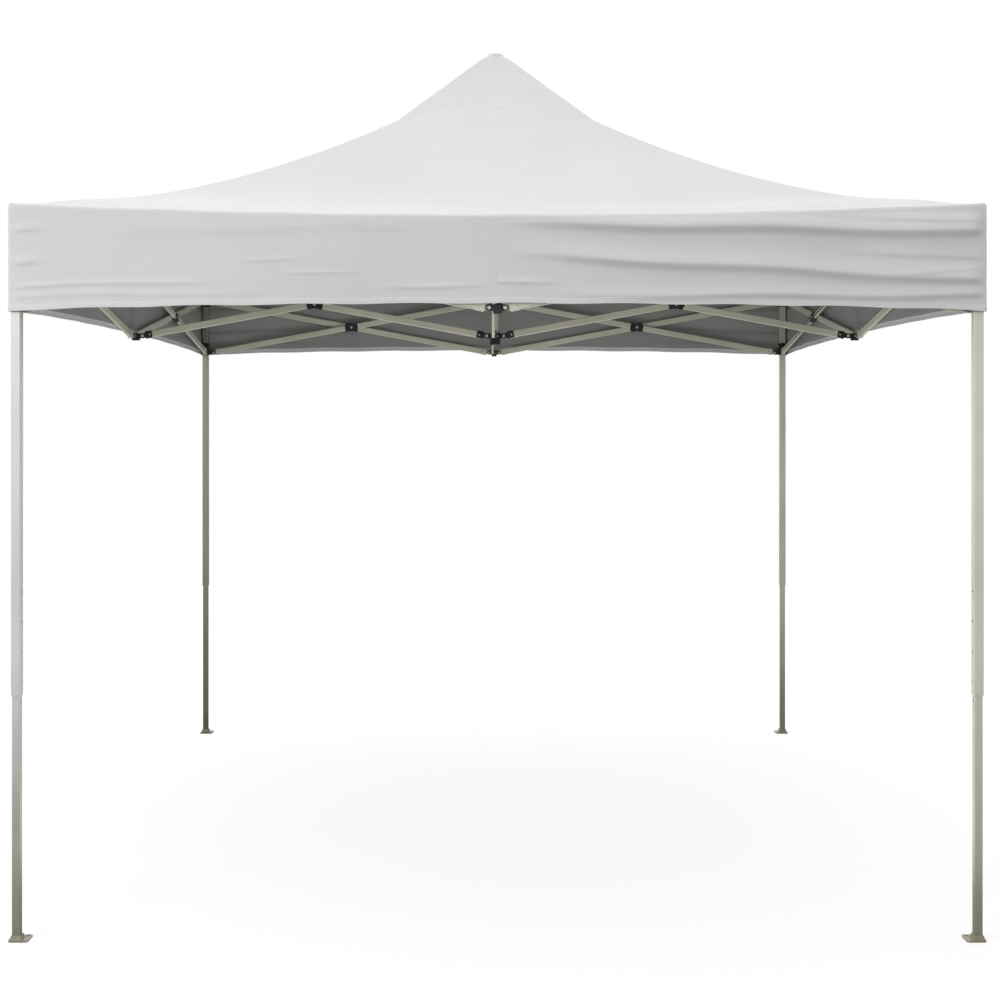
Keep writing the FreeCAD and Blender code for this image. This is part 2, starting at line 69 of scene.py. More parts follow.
panel_low, panel_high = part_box("canopy_front")
crown_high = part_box("canopy_crown")[1]
button_low, button_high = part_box("leg_button_front_right")
LEG_CENTRE = (button_low.y + button_high.y) / -2
EAVE = panel_high.x
CROWN = crown_high.x
HEM_CORNER_Z = panel_low.z
PEAK_TOP = crown_high.z
EAVE_Z = 2.276           # the eave at the corners
EAVE_SAG = 0.034         # the eave hangs this much lower in the middle of a side
HEM_RISE = 0.019         # the hem is this much higher in the middle of a side
HEM_DROP = 0.006         # the hem hangs this much below its plain line near the corners
KNEE = 0.378             # half width at which the steep peak turns into the shallow roof
KNEE_Z = 2.763
PEAK_HALF = 0.035        # half width at which the slope ends, below the flat top
PEAK_Z = 3.1
PEAK_TOP_HALF = 0.028
ROOF_POWER = 1.6         # hollow of the roof between knee and eave

CORNER_LIFT = 0.011      # slack of the hips where they rest on the leg tops
CORNER_LIFT_AT = 1.34    # half width of the highest slack
CORNER_LIFT_WIDTH = 0.12
POCKET = 0.312           # half width at which the peak's pocket is sewn on
POCKET_RAISE = 0.0016
KNEE_SWELL = 0.006       # soft swelling of each face over the knee
TOP_BLEND = 0.004        # width over which the slope turns into the flat top

CLOTH = 0.0009           # thickness
SEAM_WIDTH = 0.011       # doubled cloth beside a hip
SEAM_RAISE = 0.0012
HEM_HEIGHT = 0.016
ROLL = 0.010             # radius with which the cloth rolls over the eave and the corners
ROLL_STEPS = (0, 9, 18, 27, 36, 45)   # degrees of the rows over half a roll
LEAST_ROUNDING = 1e-6
NEAR_EDGE = 0.0004       # first row or column beside an edge, which keeps its shading flat
HIP_COLUMNS = (0.0, 0.003, 0.006, 0.009, 0.012, 0.016, 0.024)   # distances of columns from a hip
HIP_COLUMNS_FULL = 0.06  # half width below which these columns draw together
STITCH_ROWS = (0.003, 0.009)   # distances of the stitch rows from a seam
STITCH_HALF = 0.0006
STITCH_LENGTH = 0.0045
WEAVE_PITCH = 0.0016
CROWN_SLOPE = 1.4        # length down a face of the crown over its half width
VALANCE_ROWS_END = 0.29  # drop of the last plain row over the hem, on a straight valance
VALANCE_ROWS_LENGTH = 0.296


# ---------------------------------------------------------------- shapes of the cloth

def smooth(x, low, high):
    """0 below low, 1 above high, with a smooth step between."""
    t = np.clip((x - low) / (high - low), 0.0, 1.0)
    return t * t * (3 - 2 * t)


def ridge(x, centre, width):
    """Bell curve of height 1."""
    return np.exp(-((x - centre) / width) ** 2)


def hip_height(s):
    """Height of the roof along its hips at half width s."""
    steep = KNEE_Z + (PEAK_Z - KNEE_Z) * (KNEE - s) / (KNEE - PEAK_HALF)
    fall = np.clip((EAVE - s) / (EAVE - KNEE), 0.0, 1.0)
    shallow = EAVE_Z + (KNEE_Z - EAVE_Z) * fall ** ROOF_POWER
    lift = CORNER_LIFT * ridge(s, CORNER_LIFT_AT, CORNER_LIFT_WIDTH)
    slack = lift * (1 - smooth(s, CORNER_LIFT_AT, EAVE))
    height = np.where(s <= KNEE, steep, shallow + slack)
    blend_from = PEAK_HALF + TOP_BLEND
    top = smooth(blend_from - s, 0.0, blend_from - PEAK_TOP_HALF)
    return np.where(s < blend_from, height * (1 - top) + PEAK_TOP * top, height)


def eave_height(across):
    """Height of the eave between two corners, across from -1 to 1."""
    return EAVE_Z - EAVE_SAG * (1 - across ** 2)


def across_columns(s, inner):
    """Places across a roof face at half width s, close together along both hips."""
    near = np.array(HIP_COLUMNS) * min(1.0, s / HIP_COLUMNS_FULL)
    rest = np.linspace(-s + near[-1], s - near[-1], inner)[1:-1]
    return np.concatenate([-s + near, rest, (s - near)[::-1]])


def rolled(across, out, radius):
    """A line of the front side with its two corners rounded, as x and y."""
    turn_share = np.clip((np.abs(across) - (out - radius)) / radius, 0.0, 1.0)
    angle = turn_share * math.pi / 4
    x = np.where(turn_share > 0, np.sign(across) * (out - radius + radius * np.sin(angle)), across)
    return x, -(out - radius * (1 - np.cos(angle)))


def hip_seam(distance):
    """Raised band of doubled cloth along a hip."""
    return SEAM_RAISE * (1 - smooth(distance, SEAM_WIDTH - 0.003, SEAM_WIDTH))


def roof_ripple(x, s, phase):
    """Shallow slack of the cloth between the hips, strongest half way down."""
    slack = smooth(s, KNEE, 0.8) * (1 - smooth(s, 1.25, EAVE))
    hips = smooth(s - np.abs(x), 0.0, 0.35)
    wave = np.sin(2 * math.pi * (x / 0.52 + 0.35 * s) + phase)
    wave = wave + 0.6 * np.sin(2 * math.pi * (x / 0.29 - 0.5 * s) + 2.3 * phase)
    eave = ridge(s, EAVE - 0.05, 0.05) * np.sin(2 * math.pi * x / 0.37 + phase)
    return (0.0016 * wave * slack + 0.0014 * eave) * hips


def pocket_crease(x, s):
    """Crease where the pocket of the peak pole is sewn under the face."""
    across = smooth(x, -0.06, 0.02) * (1 - smooth(x, 0.20, 0.28))
    return POCKET_RAISE * ridge(s + 0.25 * (x - 0.06) ** 2, POCKET, 0.0035) * across


def roof_rows():
    """Half widths of a roof face's rows, from the crown to the eave roll."""
    upper = np.linspace(CROWN + 0.012, POCKET - 0.016, 8)
    crease = np.linspace(POCKET - 0.012, POCKET + 0.006, 10)
    knee = np.linspace(POCKET + 0.016, KNEE + 0.04, 12)
    lower = np.linspace(KNEE + 0.05, EAVE - 0.03, 84)
    return np.concatenate([[CROWN, CROWN + NEAR_EDGE], upper, crease, knee, lower, [EAVE - 0.02]])


def face_height(x, s, phase):
    """Height of the front roof face, with its seams and slack."""
    share = max(0.0, (s - KNEE) / (EAVE - KNEE))
    z = hip_height(np.full_like(x, s)) - EAVE_SAG * share * (1 - (x / s) ** 2)
    middle = smooth(s - np.abs(x), 0.02, 0.20)
    z = z + KNEE_SWELL * ridge(s, KNEE, 0.035) * middle
    seams = smooth(s, CROWN, CROWN + 0.02)
    return z + seams * (hip_seam(s - np.abs(x)) + pocket_crease(x, s)) + roof_ripple(x, s, phase)


def roof_grid(phase):
    """Points, cloth places and seam places of the front roof face."""
    rows = [(s, 0.0) for s in roof_rows()]
    for angle in np.radians(ROLL_STEPS):
        rows.append((EAVE - ROLL * (1 - math.sin(angle)), ROLL * (1 - math.cos(angle))))
    points, cloth, seam = [], [], []
    run = 0.0
    last = None
    for s, drop in rows:
        across = across_columns(s, 50)
        z = face_height(across, s, phase) - drop
        rounding = ROLL * float(smooth(s, EAVE - 0.12, EAVE)) + LEAST_ROUNDING
        x, y = rolled(across, s, rounding)
        points.append(np.stack([x, y, z], 1))
        middle = np.array([s, z[len(z) // 2]])
        if last is not None:
            run += float(np.linalg.norm(middle - last))
        last = middle
        cloth.append(np.stack([x, np.full_like(x, run)], 1))
        seam.append(np.stack([s - np.abs(across), np.full_like(x, run)], 1))
    return np.array(points), np.array(cloth), np.array(seam)


def crown_grid():
    """Points, cloth places and seam places of one face of the crown."""
    rows = np.concatenate([np.linspace(0.0005, PEAK_TOP_HALF, 8),
                           np.linspace(PEAK_TOP_HALF + 0.001, PEAK_HALF + 0.006, 12),
                           np.linspace(0.046, CROWN - 0.006, 26), [CROWN - NEAR_EDGE, CROWN]])
    points, cloth, seam = [], [], []
    for s in rows:
        across = across_columns(s, 22)
        seams = smooth(s, 0.03, 0.06) * (1 - smooth(s, CROWN - 0.02, CROWN))
        z = hip_height(np.full_like(across, s)) + hip_seam(s - np.abs(across)) * seams
        rounding = s * (1 - float(smooth(s, 0.030, 0.050))) + LEAST_ROUNDING
        x, y = rolled(across, s, rounding)
        points.append(np.stack([x, y, z], 1))
        run = np.full_like(across, s * CROWN_SLOPE)
        cloth.append(np.stack([across, run], 1))
        seam.append(np.stack([s - np.abs(across), run], 1))
    return np.array(points), np.array(cloth), np.array(seam)


# Folds of the valances, as (x0, z0, x1, z1, height, width, start, full):
# a soft roll over a crease between two points, growing from start to full along x.
FOLDS = {
    ("front", 1): [
        (0.00, 2.206, 1.48, 2.178, 0.0235, 0.019, -0.05, 0.42),
        (0.00, 2.114, 1.48, 2.028, 0.0210, 0.019, 0.00, 0.40),
        (0.00, 1.986, 1.48, 1.986, 0.0130, 0.012, 0.10, 0.65),
        (0.00, 2.027, 0.12, 2.024, 0.0040, 0.006, -0.04, 0.02),
        (0.85, 2.243, 1.47, 2.214, 0.0060, 0.011, 0.95, 1.30),
        (0.95, 2.135, 1.47, 2.100, 0.0060, 0.011, 1.00, 1.25),
        (1.05, 2.045, 1.47, 2.066, 0.0040, 0.008, 1.15, 1.35),
    ],
    ("front", -1): [
        (-0.80, 2.036, -1.47, 2.014, 0.0032, 0.005, -0.85, -1.00),
        (-0.50, 2.000, -1.47, 1.984, 0.0022, 0.006, -0.60, -1.10),
        (-0.55, 2.100, -0.72, 2.096, 0.0025, 0.005, -0.60, -0.66),
        (-0.30, 2.060, -0.60, 2.054, 0.0025, 0.005, -0.40, -0.50),
        (-1.30, 2.194, -1.49, 2.190, 0.0040, 0.009, -1.38, -1.45),
        (-1.30, 2.092, -1.49, 2.088, 0.0045, 0.009, -1.38, -1.45),
        (0.00, 2.206, -1.10, 2.180, 0.0030, 0.026, 0.05, -0.40),
        (0.00, 2.020, -0.30, 2.016, 0.0030, 0.006, 0.00, -0.12),
    ],
}
OTHER_FOLDS = [
    (0.00, 2.200, 1.48, 2.180, 0.0055, 0.018, 0.30, 1.10),
    (0.00, 2.095, 1.48, 2.060, 0.0065, 0.019, 0.25, 1.00),
    (0.00, 2.016, 1.48, 2.000, 0.0035, 0.014, 0.40, 1.20),
]
OTHER_PULL = 0.0025      # how far the other sides are pulled in over the whole width
SMALL_WAVES = {"front": 0.0008, "right": 0.00024, "back": 0.00064, "left": 0.00024}
HEM_WAVES = {"front": 0.0016, "right": 0.00048, "back": 0.00128, "left": 0.00048}


def valance_depth(x, z, side, end, phase):
    """How far the valance stands out from its flat plane."""
    folds = FOLDS.get((side, end))
    pull = 0.0
    if folds is None:
        pull = OTHER_PULL
        mirror = np.array([end, 1, end, 1, 1, 1, end, end])
        folds = [tuple(mirror * fold) for fold in OTHER_FOLDS]
    depth = np.zeros_like(x)
    for x0, z0, x1, z1, height, width, start, full in folds:
        along = (x - x0) / (x1 - x0)
        line = z0 + (z1 - z0) * along + 0.004 * np.sin(9 * x + phase)
        grow = smooth(end * x, end * start, end * full)
        grow = grow * (1 - smooth(end * x, end * x1 - 0.02, end * x1 + 0.10))
        crest = line + width * 0.5
        above = ridge(z, crest, width * 1.9) * (z > crest)
        below = ridge(z, crest, width * 0.75) * (z <= crest)
        depth = depth + height * grow * (above + below)
    drop = (EAVE_Z - z) / (EAVE_Z - HEM_CORNER_Z)
    wave = 1.0 + np.sin(2 * math.pi * x / 0.46 + phase + 1.2 * drop)
    wave = wave + 0.45 * (1 + np.sin(2 * math.pi * x / 0.21 + 2 * phase))
    depth = depth + SMALL_WAVES[side] * wave * smooth(drop, 0.0, 1.0)
    depth = depth - pull * smooth(drop, 0.1, 0.4)
    return depth * smooth(EAVE - np.abs(x), 0.0, 0.05) * smooth(drop, 0.0, 0.12)


def valance_grid(side, end, phase):
    """Points, cloth places, seam places and hem rows of half a valance."""
    rows = []
    for angle in np.radians(45 + np.array(ROLL_STEPS)):
        rows.append(("down", ROLL * (1 - math.cos(angle)), ROLL * (1 - math.sin(angle))))
    rows += [("down", drop, 0.0) for drop in np.linspace(ROLL + 0.003, VALANCE_ROWS_END, 62)]
    low = np.array([HEM_HEIGHT + 0.004, HEM_HEIGHT + 0.001, HEM_HEIGHT, 0.011, 0.006, 0.002, 0.0])
    rows += [("low", h, 0.0) for h in low]
    reach = np.concatenate([[0.0, NEAR_EDGE], np.linspace(0.01, EAVE - 0.03, 118),
                            [EAVE - 0.02], EAVE - ROLL * np.linspace(1, 0, 7)])
    a = end * reach / EAVE
    hem = HEM_CORNER_Z + HEM_RISE * (1 - a ** 2) - HEM_DROP * a ** 8
    ripple = np.sin(2 * math.pi * end * reach / 0.33 + phase) * smooth(EAVE - reach, 0.0, 0.1)
    hem = hem + HEM_WAVES[side] * ripple
    top = eave_height(a)
    points, cloth, seam = [], [], []
    for kind, step, inset in rows:
        if kind == "low":
            z = hem + step
        elif step <= ROLL:
            z = top - step
        else:
            share = (step - ROLL) / (VALANCE_ROWS_LENGTH - ROLL)
            z = top - ROLL - share * (top - ROLL - hem - low[0])
        x, y = rolled(end * reach, EAVE - inset, ROLL - inset)
        above = z - hem
        band = SEAM_RAISE * (1 - smooth(above, HEM_HEIGHT - 0.0005, HEM_HEIGHT + 0.0012))
        y = y - valance_depth(end * reach, z, side, end, phase)
        y = y - band * smooth(EAVE - reach, 0.0, ROLL)
        points.append(np.stack([x, y, z], 1))
        cloth.append(np.stack([x, z], 1))
        edge = np.minimum(above, EAVE - reach)
        seam.append(np.stack([edge, np.where(EAVE - reach <= edge + 1e-9, z, x)], 1))
    grids = [np.array(g) for g in (points, cloth, seam)]
    if end < 0:
        grids = [g[:, ::-1] for g in grids]
    return grids, len(rows) - len(low)


# ---------------------------------------------------------------- meshes

def turn(points, quarter):
    """Points turned from the front side to another side."""
    angle = quarter * math.pi / 2
    c, s = round(math.cos(angle)), round(math.sin(angle))
    x, y = points[..., 0], points[..., 1]
    return np.stack([c * x - s * y, s * x + c * y, points[..., 2]], -1)


def sheet(name, faces_of, hem_from=None):
    """Mesh of one or more grids of points, with the cloth's own places as attributes."""
    verts, quads, cloth_places, seam_places, slots = [], [], [], [], []
    for points, cloth, seam in faces_of:
        rows, columns = points.shape[:2]
        first = sum(len(v) for v in verts)
        index = first + np.arange(rows * columns).reshape(rows, columns)
        quad = np.stack([index[:-1, :-1], index[1:, :-1], index[1:, 1:], index[:-1, 1:]], -1)
        verts.append(points.reshape(-1, 3))
        cloth_places.append(cloth.reshape(-1, 2))
        seam_places.append(seam.reshape(-1, 2))
        quads.append(quad.reshape(-1, 4))
        row_of = np.repeat(np.arange(rows - 1), columns - 1)
        slots.append(np.where(row_of >= (hem_from or rows), 2, 0))
    verts, quads, slots = np.concatenate(verts), np.concatenate(quads), np.concatenate(slots)
    mesh = bpy.data.meshes.new(name)
    mesh.from_pydata(verts.tolist(), [], quads.tolist())
    for label, values in (("cloth", cloth_places), ("seam", seam_places)):
        flat = np.concatenate(values)
        layer = mesh.attributes.new(label, "FLOAT_VECTOR", "POINT")
        full = np.column_stack([flat, np.zeros(len(flat))])
        layer.data.foreach_set("vector", full.astype(np.float32).ravel())
    mesh.polygons.foreach_set("use_smooth", [True] * len(quads))
    mesh.polygons.foreach_set("material_index", slots.astype(np.int32))
    mesh.update()
    piece = bpy.data.objects.new(name, mesh)
    bpy.context.scene.collection.objects.link(piece)
    for material in (cloth_outer, cloth_inner, cloth_outer, cloth_hem_inside):
        mesh.materials.append(material)
    thick = piece.modifiers.new("thickness", "SOLIDIFY")
    thick.thickness = CLOTH
    thick.offset = -1
    thick.use_even_offset = True
    thick.material_offset = 1
    thick.material_offset_rim = 0
    return piece


def weld(piece):
    """Join a piece's own edges where its faces meet."""
    merge = piece.modifiers.new("weld", "WELD")
    merge.merge_threshold = 0.0002
    piece.modifiers.move(len(piece.modifiers) - 1, 0)


# ---------------------------------------------------------------- materials

class Nodes:
    """Short ways to build a node material."""

    def __init__(self, name):
        self.material = bpy.data.materials.new(name)
        self.material.use_nodes = True
        self.tree = self.material.node_tree
        self.shader = self.tree.nodes["Principled BSDF"]

    def add(self, kind, **values):
        """A new node, with its sockets and settings set by name."""
        node = self.tree.nodes.new(kind)
        for key, value in values.items():
            if key in node.inputs:
                node.inputs[key].default_value = value
            else:
                setattr(node, key, value)
        return node

    def link(self, source, target):
        self.tree.links.new(source, target)

    def math(self, operation, first, second=0.0):
        node = self.add("ShaderNodeMath", operation=operation)
        for socket, value in zip(node.inputs, (first, second)):
            if hasattr(value, "is_linked"):
                self.link(value, socket)
            else:
                socket.default_value = value
        return node.outputs[0]

    def noise(self, scale, detail, vector=None):
        node = self.add("ShaderNodeTexNoise", Scale=scale, Detail=detail, Roughness=0.5)
        if vector is None:
            vector = self.add("ShaderNodeTexCoord").outputs["Object"]
        self.link(vector, node.inputs["Vector"])
        return node.outputs["Fac"]

    def mix(self, factor, first, second):
        node = self.add("ShaderNodeMix", data_type="RGBA")
        if hasattr(factor, "is_linked"):
            self.link(factor, node.inputs["Factor"])
        else:
            node.inputs["Factor"].default_value = factor
        for socket, value in ((node.inputs[6], first), (node.inputs[7], second)):
            if hasattr(value, "is_linked"):
                self.link(value, socket)
            else:
                socket.default_value = (*value, 1.0)
        return node.outputs[2]

    def ramp(self, value, low, high, out_low=0.0, out_high=1.0):
        """A value brought from one range to another, and kept inside it."""
        node = self.add("ShaderNodeMapRange")
        self.link(value, node.inputs["Value"])
        limits = {"From Min": low, "From Max": high, "To Min": out_low, "To Max": out_high}
        for label, number in limits.items():
            node.inputs[label].default_value = number
        return node.outputs["Result"]

    def bump(self, height, strength, distance):
        node = self.add("ShaderNodeBump", Strength=strength, Distance=distance)
        self.link(height, node.inputs["Height"])
        self.link(node.outputs["Normal"], self.shader.inputs["Normal"])

    def place(self, label):
        """The x and y of a vector attribute."""
        attribute = self.add("ShaderNodeAttribute", attribute_name=label)
        parts = self.add("ShaderNodeSeparateXYZ")
        self.link(attribute.outputs["Vector"], parts.inputs[0])
        return parts.outputs["X"], parts.outputs["Y"]

    def set(self, **values):
        """Set sockets of the surface shader by name."""
        for key, value in values.items():
            self.shader.inputs[key.replace("_", " ")].default_value = value


def weave_height(n):
    """Plain weave of a coated polyester, from the cloth's own places."""
    u, v = n.place("cloth")
    wave_u = n.math("SINE", n.math("MULTIPLY", u, 2 * math.pi / WEAVE_PITCH))
    wave_v = n.math("SINE", n.math("MULTIPLY", v, 2 * math.pi / WEAVE_PITCH))
    return n.math("MULTIPLY", wave_u, wave_v)


def stitches(n):
    """1 on the thread of the two stitch rows beside each seam, else 0."""
    edge, along = n.place("seam")
    rows = None
    for offset in STITCH_ROWS:
        away = n.math("ABSOLUTE", n.math("SUBTRACT", edge, offset))
        near = n.math("LESS_THAN", away, STITCH_HALF)
        rows = near if rows is None else n.math("MAXIMUM", rows, near)
    dash = n.math("LESS_THAN", n.math("FRACT", n.math("MULTIPLY", along, 1 / STITCH_LENGTH)), 0.7)
    return n.math("MULTIPLY", rows, dash)


def cloth_material(name, colour, thread, roughness, sheen):
    """Coated polyester: weave, stitched seams, and a faint uneven tone."""
    n = Nodes(name)
    tone = n.noise(1.7, 4.0)
    fine = n.noise(55.0, 2.0)
    dark = tuple(0.93 * c for c in colour)
    base = n.mix(n.ramp(tone, 0.35, 0.65), dark, colour)
    base = n.mix(n.ramp(fine, 0.3, 0.7, 0.0, 0.25), base, tuple(0.96 * c for c in dark))
    thread_mask = stitches(n)
    base = n.mix(thread_mask, base, thread)
    n.link(base, n.shader.inputs["Base Color"])
    n.link(n.ramp(fine, 0.3, 0.7, roughness - 0.06, roughness + 0.06), n.shader.inputs["Roughness"])
    weave = n.math("MULTIPLY", weave_height(n), 0.25)
    height = n.math("ADD", weave, n.math("MULTIPLY", thread_mask, 1.2))
    height = n.math("ADD", height, n.math("MULTIPLY", n.noise(14.0, 3.0), 0.8))
    n.bump(height, 0.25, 0.0006)
    n.set(Sheen_Weight=sheen, Sheen_Roughness=0.5, Specular_IOR_Level=0.3)
    return n.material


def steel_material(name, tint):
    """Champagne grey powder coat, darker and browner towards the ground, the darkening being painted
    shade.
    """
    n = Nodes(name)
    coordinates = n.add("ShaderNodeTexCoord").outputs["Object"]
    parts = n.add("ShaderNodeSeparateXYZ")
    n.link(coordinates, parts.inputs[0])
    height = parts.outputs["Z"]
    patch = n.noise(3.0, 4.0)
    speck = n.noise(420.0, 2.0)
    upper = n.mix(n.ramp(patch, 0.35, 0.65), (0.74, 0.735, 0.68), (0.84, 0.835, 0.79))
    lower = n.mix(n.ramp(patch, 0.35, 0.65), (0.27, 0.256, 0.18), (0.33, 0.316, 0.23))
    # Painted shade: the coat darkens towards the ground as if less light reached low down; its lower
    # colour is also browner.
    ground_shade = n.ramp(n.math("ADD", height, n.math("MULTIPLY", patch, 0.25)), 0.08, 1.05)
    base = n.mix(ground_shade, lower, upper)
    base = n.mix(n.ramp(speck, 0.62, 0.72, 0.0, 0.35), base, (0.30, 0.29, 0.26))
    # Light vertical streaks: partly scratches in the coat, partly painted highlight of glossy
    # reflections along the tubes.
    streak_space = n.add("ShaderNodeMapping", Scale=(90.0, 90.0, 2.5))
    n.link(coordinates, streak_space.inputs["Vector"])
    scratch_and_highlight = n.noise(3.0, 5.0, streak_space.outputs[0])
    base = n.mix(n.ramp(scratch_and_highlight, 0.66, 0.74, 0.0, 0.30), base, (0.80, 0.80, 0.78))
    tinted = n.add("ShaderNodeVectorMath", operation="MULTIPLY")
    n.link(base, tinted.inputs[0])
    tinted.inputs[1].default_value = tint
    n.link(tinted.outputs[0], n.shader.inputs["Base Color"])
    n.link(n.ramp(patch, 0.3, 0.7, 0.34, 0.48), n.shader.inputs["Roughness"])
    n.bump(n.math("ADD", n.noise(160.0, 2.0), n.math("MULTIPLY", speck, 0.4)), 0.18, 0.0006)
    n.set(Metallic=0.2, Coat_Weight=0.15, Coat_Roughness=0.3)
    return n.material


def plastic_material():
    """Black moulded nylon with a fine spark texture and rubbed patches."""
    n = Nodes("black_nylon")
    grain = n.noise(700.0, 2.0)
    patch = n.noise(24.0, 3.0)
    base = n.mix(n.ramp(patch, 0.4, 0.7), (0.012, 0.012, 0.013), (0.032, 0.032, 0.033))
    n.link(base, n.shader.inputs["Base Color"])
    n.link(n.ramp(patch, 0.3, 0.7, 0.38, 0.55), n.shader.inputs["Roughness"])
    n.bump(grain, 0.25, 0.0004)
    return n.material


def zinc_material():
    """Zinc plated rivets and snap buttons."""
    n = Nodes("zinc")
    patch = n.noise(60.0, 3.0)
    base = n.mix(n.ramp(patch, 0.35, 0.65), (0.62, 0.62, 0.60), (0.86, 0.86, 0.84))
    n.link(base, n.shader.inputs["Base Color"])
    n.link(n.ramp(patch, 0.3, 0.7, 0.18, 0.36), n.shader.inputs["Roughness"])
    n.bump(n.noise(900.0, 2.0), 0.1, 0.0003)
    n.set(Metallic=1.0)
    return n.material


THREAD = (0.86, 0.86, 0.86)
cloth_outer = cloth_material("cloth_outer", (0.73, 0.73, 0.73), THREAD, 0.62, 0.08)
cloth_inner = cloth_material("cloth_inner", (0.37, 0.362, 0.357), (0.42, 0.42, 0.42), 0.55, 0.03)
cloth_hem_inside = cloth_material("cloth_hem_inside", (0.68, 0.68, 0.68), THREAD, 0.62, 0.08)
# Painted light and shade: the back legs are darkened as if in the canopy's shade, the back left most,
# and the front left is toned down where the key lamp lights it most.
LEG_SHADE_TINTS = {            # each leg's tint is painted shade and light, not the coat's own tone
    "front_left": (0.86, 0.86, 0.87), "front_right": (0.97, 0.955, 0.90),
    "back_left": (0.38, 0.368, 0.315), "back_right": (0.76, 0.75, 0.70)}
shaded_leg_steel = {}
for where, tint in LEG_SHADE_TINTS.items():
    shaded_leg_steel[where] = steel_material("powder_coat_" + where, tint)
bar_steel = steel_material("powder_coat_bar", (0.90, 0.90, 0.78))
plastic = plastic_material()
zinc = zinc_material()


# ---------------------------------------------------------------- cloth pieces

def build_cloth():
    """Roof faces on the cloth panels, half valances on the legs, and the crown on the peak."""
    for quarter, side in enumerate(SIDES):
        phase = 1.7 * quarter + 0.4
        points, cloth, seam = roof_grid(phase)
        roof = sheet(f"roof_{side}", [(turn(points, quarter), cloth, seam)])
        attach(roof, f"canopy_{side}")
        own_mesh(roof)
        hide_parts(f"canopy_{side}")
        for end in (1, -1):
            grids, hem_from = valance_grid(side, end, phase)
            grids[0] = turn(grids[0], quarter)
            label = "right" if end > 0 else "left"
            valance = sheet(f"valance_{side}_{label}", [grids], hem_from)
            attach(valance, "outer_leg_" + CORNER_OF_END[(side, end)])
            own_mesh(valance)
    points, cloth, seam = crown_grid()
    crown = sheet("crown", [(turn(points, quarter), cloth, seam) for quarter in range(4)])
    weld(crown)
    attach(crown, "peak")
    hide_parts("canopy_crown")


# ---------------------------------------------------------------- frame materials

STEEL, PLASTIC, ZINC = 0, 1, 2   # material slots of every frame node
TUBE_HALF_THICK = 0.0063
TUBE_HALF_HIGH = 0.01405
TUBE_END = 0.0219        # from a bar's end pivot to the start of its bare tube
CAP_RIVET = 0.032        # from a bar's end pivot to the rivet that holds its end piece
CAP_RIVET_HEAD_R = 0.0041
CAP_RIVET_HEAD_START = 0.00776
CROSS_RIVET_HEAD_R = 0.0071
CROSS_RIVET_HEAD_START = 0.00805
SLEEVE_HALF = 0.0326
EYE_R = 0.010
PIVOT_HEAD_R = 0.00605
PIVOT_HEAD_FROM = 0.00815
PIVOT_HEAD_TO = 0.0103
LEG_HALF = 0.01505
LEG_CAP_HIGH = 0.0061
CENTRE_TUBE_R = 0.0126
CENTRE_GUIDE_HIGH = 0.0052
POLE_R = 0.0101


def polygon_centres(mesh):
    """Middle of each polygon of a mesh."""
    centres = np.zeros(len(mesh.polygons) * 3, np.float32)
    mesh.polygons.foreach_get("center", centres)
    return centres.reshape(-1, 3).astype(float)


def paint(node, choice):
    """Give a node its materials: choice holds the material slot of each polygon."""
    mesh = frame["nodes"][node].data
    mesh.materials.clear()
    coat = bar_steel
    # Each leg takes its own copy of the powder coat, tinted with painted shade.
    for where, steel in shaded_leg_steel.items():
        if "_leg_" + where in node:
            coat = steel
    for material in (coat, plastic, zinc):
        mesh.materials.append(material)
    mesh.polygons.foreach_set("material_index", choice.astype(np.int32))
    mesh.update()


def paint_bar(node):
    """Steel tube, plastic ends and sleeve, zinc rivets."""
    low, high = (np.array(v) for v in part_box(node))
    centre = (low + high) / 2
    wide = 0 if high[0] - low[0] > high[1] - low[1] else 1
    span = high[wide] - low[wide] - 2 * EYE_R
    rise = high[2] - low[2] - 2 * EYE_R
    places = polygon_centres(frame["nodes"][node].data)
    ends = places[np.abs(places[:, wide] - high[wide]) < CAP_RIVET]
    slope = 1 if ends[:, 2].mean() > centre[2] else -1
    length = math.hypot(span, rise)
    offset = places - centre
    along = (offset[:, wide] * span + slope * offset[:, 2] * rise) / length
    up = (-slope * offset[:, wide] * rise + offset[:, 2] * span) / length
    lateral = places[:, 1 - wide]
    on_tube = (np.abs(up) < TUBE_HALF_HIGH) & (np.abs(along) < length / 2 - TUBE_END)
    plain = (np.abs(along) > 0.1) & (np.abs(along) < length / 2 - 0.1)
    middle = np.median(lateral[on_tube & plain])
    tube = on_tube & (np.abs(lateral - middle) < TUBE_HALF_THICK)
    plain_end = node.startswith("side_bar") & (np.abs(along) > SLEEVE_HALF)
    choice = np.where(tube | plain_end, STEEL, PLASTIC)
    for spot in (-(length / 2 - CAP_RIVET), length / 2 - CAP_RIVET):
        head = np.hypot(along - spot, up) < CAP_RIVET_HEAD_R
        choice[head & (np.abs(lateral - middle) > CAP_RIVET_HEAD_START)] = ZINC
    head = np.hypot(along, up) < CROSS_RIVET_HEAD_R
    choice[head & (np.abs(lateral - middle) > CROSS_RIVET_HEAD_START)] = ZINC
    paint(node, choice)


def pivot_heads(places, pivots):
    """Which polygons of a bracket are rivet heads: near a pivot's axis and outside its ears."""
    heads = np.zeros(len(places), bool)
    for place, axis in pivots:
        offset = places - place
        along = offset @ axis
        radial = np.linalg.norm(offset - np.outer(along, axis), axis=1)
        outside = (np.abs(along) > PIVOT_HEAD_FROM) & (np.abs(along) < PIVOT_HEAD_TO)
        heads |= (radial < PIVOT_HEAD_R) & outside
    return heads


